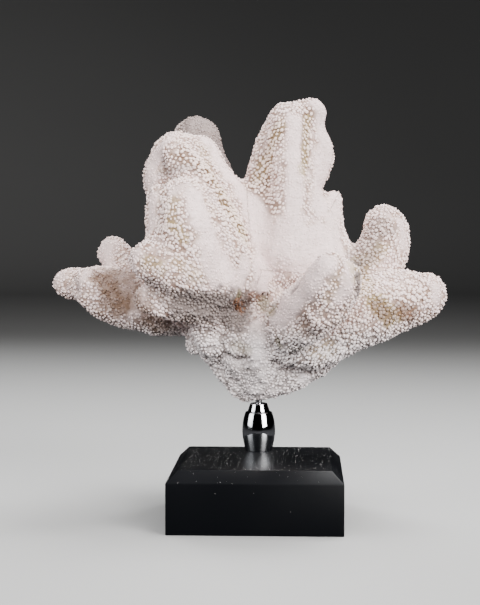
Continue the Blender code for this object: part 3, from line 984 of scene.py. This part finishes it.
    def insetter(self, material: Material) -> GeometryTree:
        """Returns the tree that sinks the skin under the warts' tips and gives it its swellings, crags and pits."""
        tree = GeometryTree("inset_skin", inputs_of(
            self, "inset", "calm_inset", "pit_depth", "swell_size", "swell_height", "crag_size", "crag_height",
        ))
        board = tree.board
        calm = board.named("calm")
        place = board.add("GeometryNodeInputPosition")
        swell = board.noise(board.scaled(place, 1 / tree.input("Swell size")), 1.0, 2) - 0.5
        normal = board.add("GeometryNodeInputNormal")
        low = board.part(place, "Z").ramp(self.crag_start, self.crag_full)
        under = board.part(normal, "Z").ramp(-0.15, -0.6)
        low = low.at_least(under * self.under_crags)
        crag = board.noise(board.scaled(place, 1 / tree.input("Crag size")), 1.0, 3, 0.6) - 0.5
        sunk = tree.input("Inset") * (1 - calm) + tree.input("Calm inset") * calm
        rise = swell * tree.input("Swell height") - sunk + board.named("relief") * MM
        rise = rise + crag * low * tree.input("Crag height") - board.named("pit") * tree.input("Pit depth")
        moved = board.add("GeometryNodeSetPosition", {}, {
            "Geometry": board.output_of(tree.source, 0), "Offset": board.scaled(normal, rise),
        })
        tree.finish(board.add("GeometryNodeSetShadeSmooth", {}, {0: moved}), material)
        return tree

    def wart_mesh(self) -> Mesh:
        """Returns one wart, of unit size: a low dome whose foot is sunk in the skin."""
        bm = bmesh.new()
        heights = bm.verts.layers.float.new("wart")
        rings = []
        for radius, height, level in ((1.0, -0.3, 0.0), (0.83, 0.52, 0.7)):
            ring = []
            for side in range(self.wart_sides):
                turn = math.tau * (side + len(rings) / 2) / self.wart_sides
                ring.append(bm.verts.new((radius * math.cos(turn), radius * math.sin(turn), height)))
                ring[-1][heights] = level
            rings.append(ring)
        top = bm.verts.new((0, 0, 1))
        top[heights] = 1.0
        foot, middle = rings
        for here, there in zip(range(self.wart_sides), [*range(1, self.wart_sides), 0]):
            bm.faces.new((foot[here], foot[there], middle[here]))
            bm.faces.new((middle[here], foot[there], middle[there]))
            bm.faces.new((middle[here], middle[there], top))
        bm.faces.new(foot[::-1])
        return mesh_from(bm, "wart")

    def scatterer(self, material: Material) -> GeometryTree:
        """Returns the tree that covers the skin in warts, leaning towards the branches' tips, low where it is calm."""
        tree = GeometryTree("warts", inputs_of(
            self, "wart_spacing", "wart_density", "wart_radius", "wart_height", "bold_spacing", "bold_growth",
            "missing", "calm_missing", "unevenness", "lean", "root", "seed",
        ) | {"Wart": None})
        board = tree.board
        bold = board.named("bold")
        warts = []
        for spacing, chosen, seed in (
            ("Wart spacing", bold.math("LESS_THAN", bold, self.bold_start), tree.input("Seed")),
            ("Bold spacing", bold.math("GREATER_THAN", bold, self.bold_start), tree.input("Seed") + 1),
        ):
            points = board.add("GeometryNodeDistributePointsOnFaces", {"distribute_method": "POISSON"}, {
                "Mesh": board.output_of(tree.source, 0), "Selection": chosen, "Seed": seed,
                "Distance Min": tree.input(spacing), "Density Max": tree.input("Wart density"),
            })
            warts.append(self.grown(tree, points))
        tree.finish(board.add("GeometryNodeSetShadeSmooth", {}, {0: board.joined(*warts)}), material)
        return tree

    def grown(self, tree: GeometryTree, points: Value) -> Value:
        """Returns warts on these points of the scatterer, lower where the skin is calm and larger where it is bold."""
        board = tree.board
        normal = board.output_of(points, "Normal")
        calm, rows, bold = (board.named(name) for name in ("calm", "rows", "bold"))
        place = board.add("GeometryNodeInputPosition")
        growth = board.vector("NORMALIZE", board.vector("SUBTRACT", place, tree.input("Root")))
        up = board.vector("ADD", normal, board.scaled(growth, tree.input("Lean") * (1 - calm)))
        upright = board.add("FunctionNodeAlignRotationToVector", {"axis": "Z"}, {"Vector": up})
        turned = board.add("FunctionNodeAlignRotationToVector", {"axis": "X", "pivot_axis": "Z"},
                           {"Rotation": upright, "Vector": growth})
        chance = [board.chance(number, -1.0) for number in range(3)]
        size = tree.input("Wart radius") * (1 + chance[0] * tree.input("Unevenness") * (1 - bold * self.bold_evenness))
        size = size * (1 - calm * self.calm_narrowing) * (1 + bold * tree.input("Bold growth"))
        height = tree.input("Wart height") * (1 + chance[2] * self.height_unevenness)
        scale = board.add("ShaderNodeCombineXYZ", {}, {
            0: size * (self.length + rows * self.row_stretch + chance[1] * self.row_stretch),
            1: size * (self.width - rows * self.row_squeeze),
            2: height * (1 - calm * self.calm_lowering) * (1 + bold * self.bold_rise),
        })
        bare = tree.input("Missing") * (1 - bold) + calm * tree.input("Calm missing") + board.named("pit")
        kept = board.add("GeometryNodeDeleteGeometry", {"domain": "POINT"}, {
            "Geometry": points, "Selection": bare - board.chance(9),
        })
        return board.add("GeometryNodeInstanceOnPoints", {}, {
            "Points": kept, "Instance": tree.mesh_of("Wart"), "Rotation": turned, "Scale": scale,
        })

    @staticmethod
    def dresser(material: Material) -> GeometryTree:
        """Returns the tree that gives a branch's piece of the skin its own warts."""
        tree = GeometryTree("dressed_branch", {"Branch": 0, "Warts": None})
        board = tree.board
        branch = board.add("GeometryNodeInputNamedAttribute", {"data_type": "INT"}, {"Name": "branch"})
        same = board.add("FunctionNodeCompare", {"data_type": "INT", "operation": "EQUAL"},
                         {"A_INT": branch, "B_INT": tree.input("Branch")})
        kept = board.add("GeometryNodeSeparateGeometry", {"domain": "FACE"},
                         {"Geometry": tree.mesh_of("Warts"), "Selection": same})
        tree.finish(board.joined(board.output_of(tree.source, 0), kept), material)
        return tree


def distance_to_line(points: np.ndarray, line: Sequence[np.ndarray]) -> np.ndarray:
    """Returns each point's distance to a line through several points, or to a single point."""
    best = np.full(len(points), np.inf)
    for start, end in zip(line, line[1:] or line):
        along = end - start
        share = np.clip((points - start) @ along / max(along @ along, 1e-12), 0, 1)
        best = np.minimum(best, np.linalg.norm(points - start - share[:, None] * along, axis=1))
    return best


@dataclass
class Block:
    """The black block, with its wide bevel, slightly rounded edges and the dust on it."""

    bevel: float = 6.7 * MM
    edge_round: float = 0.5 * MM
    round_steps: int = 3
    sharp_angle: float = math.radians(30)
    dust_density: float = 400000.0
    dust_size: float = 0.15 * MM
    patch_size: float = 12 * MM
    left_drift: tuple[float, float] = (12 * MM, -38 * MM)
    right_drift: tuple[float, float] = (20 * MM, 42 * MM)
    left_dust: float = 0.62
    right_dust: float = 0.45
    middle_dust: float = 0.05
    even_dust: float = 0.03
    side_dust: float = 0.006
    bevel_share: float = 0.2
    crumb_sides: int = 4
    crumb_tip: float = 0.4
    crumb_depth: float = 1.3
    crumb_flatness: float = 0.8
    shortest: float = 0.7
    lengthening: float = 0.8
    seed: int = 11

    def build(self) -> None:
        """Builds the block and its dust."""
        low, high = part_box("base_block")
        bm = bmesh.new()
        size, middle = high - low, (high + low) / 2
        bmesh.ops.create_cube(bm, size=1.0, matrix=Matrix.Translation(middle) @ Matrix.Diagonal((*size, 1.0)))
        top = [edge for edge in bm.edges if all(vert.co.z > middle.z for vert in edge.verts)]
        bmesh.ops.bevel(bm, geom=top, offset=self.bevel, segments=1, affect="EDGES")
        bmesh.ops.bevel(bm, geom=list(bm.edges), offset=self.edge_round, segments=self.round_steps,
                        profile=0.5, affect="EDGES")
        mesh = mesh_from(bm, "block")
        mesh.shade_smooth()
        mesh.set_sharp_from_angle(angle=self.sharp_angle)
        block = new_object("block", mesh, AcrylicFinish().material)
        settle(block, "black_acrylic", "base_block")
        dust = new_object("dust", self.crumbs().apply(block, "dust"))
        settle(dust, "coral")

    def crumbs(self) -> GeometryTree:
        """Returns the tree that scatters crumbs on the faces that look up, thickest at the left and right."""
        tree = GeometryTree("crumbs", inputs_of(self, "dust_density", "dust_size", "seed"))
        board = tree.board
        place = board.add("GeometryNodeInputPosition")
        x, up = board.part(place, "X"), board.part(board.add("GeometryNodeInputNormal"), "Z")
        patchy = board.noise(place, self.patch_size, 3, 0.7).ramp(0.42, 0.66)
        left, right = x.ramp(*self.left_drift), x.ramp(*self.right_drift)
        flat = self.bevel_share * up.ramp(0.1, 0.7) + (1 - self.bevel_share) * up.ramp(0.8, 0.98)
        drifts = self.middle_dust + left * self.left_dust + right * self.right_dust
        lying = flat * (self.even_dust + patchy * drifts)
        cover = lying.at_least(up.ramp(-0.2, 0.0) * self.side_dust)
        points = board.add("GeometryNodeDistributePointsOnFaces", {"distribute_method": "RANDOM"}, {
            "Mesh": board.output_of(tree.source, 0), "Density": tree.input("Dust density") * cover,
            "Seed": tree.input("Seed"),
        })
        size = tree.input("Dust size")
        crumb = board.add("GeometryNodeMeshCone", {}, {
            "Vertices": self.crumb_sides, "Radius Top": size * self.crumb_tip, "Radius Bottom": size,
            "Depth": size * self.crumb_depth,
        })
        chance = board.chance(3)
        turn = board.add("FunctionNodeRandomValue", {"data_type": "FLOAT_VECTOR"},
                         {"Min": (0, 0, 0), "Max": (6.28, 6.28, 6.28), "Seed": 5})
        # The fourth power leaves most crumbs short and a few long.
        length = self.shortest + chance * chance * chance * chance * self.lengthening
        flattened = length * self.crumb_flatness
        scale = board.add("ShaderNodeCombineXYZ", {}, {0: length, 1: flattened, 2: flattened})
        crumbs = board.add("GeometryNodeInstanceOnPoints", {}, {
            "Points": points, "Instance": crumb, "Rotation": turn, "Scale": scale,
        })
        tree.finish(crumbs, DustFinish().material)
        return tree


@dataclass
class Riser:
    """The chrome barrel and collar and the steel pin, turned about one upright axis.

    The barrel's swell is in shares of its radius and its height. The collar's slope is in shares of its radius and
    in millimetres above its foot.
    """

    barrel_swell: tuple[Pair, ...] = (
        (0.80, 0.012), (0.83, 0.06), (0.89, 0.17), (0.96, 0.32), (1.0, 0.48), (0.985, 0.64), (0.935, 0.80),
        (0.86, 0.92),
    )
    collar_slope: tuple[Pair, ...] = ((1.0, 0.35), (0.985, 1.0), (0.92, 2.3), (0.84, 3.8))
    rim_round: float = 0.12 * MM
    collar_round: float = 0.06 * MM
    pin_round: float = 0.5 * MM
    overlap: float = 0.28 * MM
    collar_overlap: float = 0.18 * MM
    steps: int = 96
    sharp_angle: float = math.radians(32)

    def build(self) -> None:
        """Builds the three turned pieces."""
        chrome = ChromeFinish().material
        settle(self.turned("barrel", self.barrel(), chrome), "chrome", "riser_barrel")
        settle(self.turned("collar", self.collar(), chrome), "chrome", "riser_collar")
        settle(self.turned("pin", self.pin(), SteelFinish().material), "steel", "mounting_pin")

    @staticmethod
    def extent(node: str) -> tuple[float, float, float]:
        """Returns the heights of a solid's foot and top, and its radius."""
        low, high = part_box(node)
        return low.z, high.z, (high.x - low.x) / 2

    def barrel(self) -> list[Pair]:
        """Returns the barrel's profile: a swelling side and a small rounded rim."""
        foot, top, radius = self.extent("riser_barrel")
        foot, rim = foot - self.overlap, top + 0.1 * MM
        swell = [(radius * wide, foot + (rim - foot) * tall) for wide, tall in self.barrel_swell]
        side = curve_through([*swell, (radius * 0.815, rim - 0.5 * MM)], 6)
        return [(0, foot), (radius * 0.77, foot), *side, (radius * 0.79, rim - self.rim_round), (radius * 0.76, rim),
                (0, rim)]

    def collar(self) -> list[Pair]:
        """Returns the collar's profile: a side that narrows upwards to a rounded edge."""
        foot, top, radius = self.extent("riser_collar")
        foot -= self.collar_overlap
        slope = [(radius * wide, foot + above * MM) for wide, above in self.collar_slope]
        side = curve_through([*slope, (radius * 0.79, top - 0.35 * MM)], 5)
        return [(0, foot), (radius * 0.94, foot), *side, (radius * 0.76, top - self.collar_round),
                (radius * 0.72, top), (0, top)]

    def pin(self) -> list[Pair]:
        """Returns the pin's profile, with a rounded tip."""
        foot, top, radius = self.extent("mounting_pin")
        foot, bevel = foot - self.overlap, self.pin_round * 0.3
        return [(0, foot), (radius, foot), (radius, top - self.pin_round), (radius - bevel, top - bevel),
                (radius - self.pin_round, top), (0, top)]

    def turned(self, name: str, profile: Sequence[Pair], material: Material) -> Piece:
        """Returns a solid turned about the riser's axis.

        Args:
            name: the piece's name.
            profile: (radius, height) points from the foot to the top.
            material: its finish.

        Returns:
            The finished piece.
        """
        low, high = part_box("riser_barrel")
        axis = (low + high) / 2
        mesh = turned_mesh(name, profile, (axis.x, axis.y), self.steps)
        mesh.set_sharp_from_angle(angle=self.sharp_angle)
        return new_object(name, mesh, material)


def turned_mesh(name: str, profile: Sequence[Pair], axis: Pair, steps: int) -> Mesh:
    """Returns a smooth mesh turned about an upright axis.

    Args:
        name: the mesh's name.
        profile: (radius, height) points.
        axis: the axis's x and y.
        steps: how many steps the turn has.

    Returns:
        The mesh, with its faces outwards.
    """
    bm = bmesh.new()
    verts = [bm.verts.new((axis[0] + radius, axis[1], height)) for radius, height in profile]
    edges = [bm.edges.new(pair) for pair in zip(verts, verts[1:])]
    bmesh.ops.spin(bm, geom=verts + edges, cent=(*axis, 0), axis=(0, 0, 1), angle=math.tau, steps=steps,
                   use_merge=True)
    bmesh.ops.remove_doubles(bm, verts=bm.verts, dist=0.002 * MM)
    bmesh.ops.recalc_face_normals(bm, faces=bm.faces)
    mesh = mesh_from(bm, name)
    mesh.shade_smooth()
    return mesh


def curve_through(points: Sequence[Pair], steps: int) -> list[Pair]:
    """Returns points along a smooth curve through the given ones."""
    knots = [Vector(point) for point in points]
    knots = [2 * knots[0] - knots[1], *knots, 2 * knots[-1] - knots[-2]]
    curve = []
    for before, start, end, after in zip(knots, knots[1:], knots[2:], knots[3:]):
        for step in range(steps):
            t = step / steps
            at = 0.5 * (2 * start + (end - before) * t + (2 * before - 5 * start + 4 * end - after) * t**2
                        + (3 * start - before - 3 * end + after) * t**3)
            curve.append(tuple(at))
    curve.append(tuple(knots[-2]))
    return curve


@dataclass(frozen=True)
class Softbox:
    """A rectangular soft light.

    Args:
        name: the light's name.
        place: where it hangs.
        size: its width and height.
        power: its power in watts.
        color: its colour.
        mirrored: whether the chrome and the block show its reflection.
    """

    name: str
    place: tuple[float, float, float]
    size: tuple[float, float]
    power: float
    color: Color = (1.0, 1.0, 1.0)
    mirrored: bool = True

    spread: ClassVar[float] = math.radians(80)

    def build(self, aim: Vector) -> None:
        """Hangs the light so that it points at the aim. Its grid narrows its spread."""
        data = bpy.data.lights.new(self.name, "AREA")
        data.shape, data.size, data.size_y = "RECTANGLE", *self.size
        data.energy, data.color, data.spread = self.power, self.color, self.spread
        light = new_object(self.name, data)
        light.location = self.place
        light.rotation_euler = (aim - Vector(self.place)).to_track_quat("-Z", "Y").to_euler()
        light.visible_camera, light.visible_glossy = False, self.mirrored


SOFTBOXES = (
    Softbox("right_softbox", (0.92, -0.88, 0.62), (0.8, 1.1), 9.0, (1.0, 0.985, 0.975)),
    Softbox("left_softbox", (-1.1, -0.5, 0.56), (0.9, 1.0), 2.7, (0.96, 0.98, 1.0)),
    Softbox("front_fill", (0.0, -1.25, 0.62), (1.3, 0.5), 6.8, (1.0, 0.99, 0.985), mirrored=False),
    Softbox("top_softbox", (0.35, 0.3, 1.3), (0.9, 0.55), 6),
    Softbox("rear_right_softbox", (0.9, 1.15, 0.85), (0.7, 0.9), 3.5, mirrored=False),
    Softbox("rear_left_softbox", (-0.9, 1.15, 0.85), (0.7, 0.9), 4.5, (0.97, 0.985, 1.0), mirrored=False),
)


@dataclass
class Studio:
    """A pale floor that curves up into the dark all round, over a dark underlay, with soft lights.
    """

    floor_reach: float = 2.6
    wall_round: float = 1.6
    wall_top: float = 3.4
    round_steps: int = 12
    turned_steps: int = 64
    paper_thickness: float = 2 * MM
    aim: tuple[float, float, float] = (0.0, 0.02, 0.14)
    world_color: Color = (0.92, 0.95, 1.0)
    world_strength: float = 0.035

    def build(self) -> None:
        """Builds the floor, the lights and the world."""
        self.build_floor()
        for softbox in SOFTBOXES:
            softbox.build(Vector(self.aim))
        world = bpy.data.worlds.new("studio")
        bpy.context.scene.world = world
        world.use_nodes = True
        background = world.node_tree.nodes["Background"]
        background.inputs["Color"].default_value = (*self.world_color, 1.0)
        background.inputs["Strength"].default_value = self.world_strength

    def build_floor(self) -> None:
        """Adds the pale paper that the camera sees, and the dark underlay that mirrors and bounced light see."""
        bend = [(self.floor_reach + self.wall_round * math.sin(turn), self.wall_round * (1 - math.cos(turn)))
                for turn in (math.radians(90) * step / self.round_steps for step in range(self.round_steps + 1))]
        profile = [(0.0, 0.0), *bend, (bend[-1][0], self.wall_top)]
        sheet = turned_mesh("floor", profile, (0, 0), self.turned_steps)
        paper = new_object("floor", sheet, PaperFinish().material)
        paper.visible_diffuse = paper.visible_glossy = paper.visible_shadow = False
        underlay = new_object("underlay", sheet.copy(), UnderlayFinish().material)
        underlay.location.z = -self.paper_thickness
        underlay.visible_camera = False
        for stage in (paper, underlay):
            stage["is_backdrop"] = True


def write_sizes() -> None:
    """Gathers the solids' box and the visual model's box beside each other, and keeps neither."""
    boxes = {"cad": CAD_BOX, "visual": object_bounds()}
    {name: [list(corner) for corner in box] for name, box in boxes.items()}


def main() -> None:
    """Builds the camera, the studio and every piece in turn."""
    logging.basicConfig(level=logging.INFO, format="%(name)s %(message)s")
    camera = PhotoCamera()
    camera.build()
    Studio().build()
    Block().build()
    Riser().build()
    CoralSkin().build(camera)
    write_sizes()


if __name__ == "__main__":
    main()
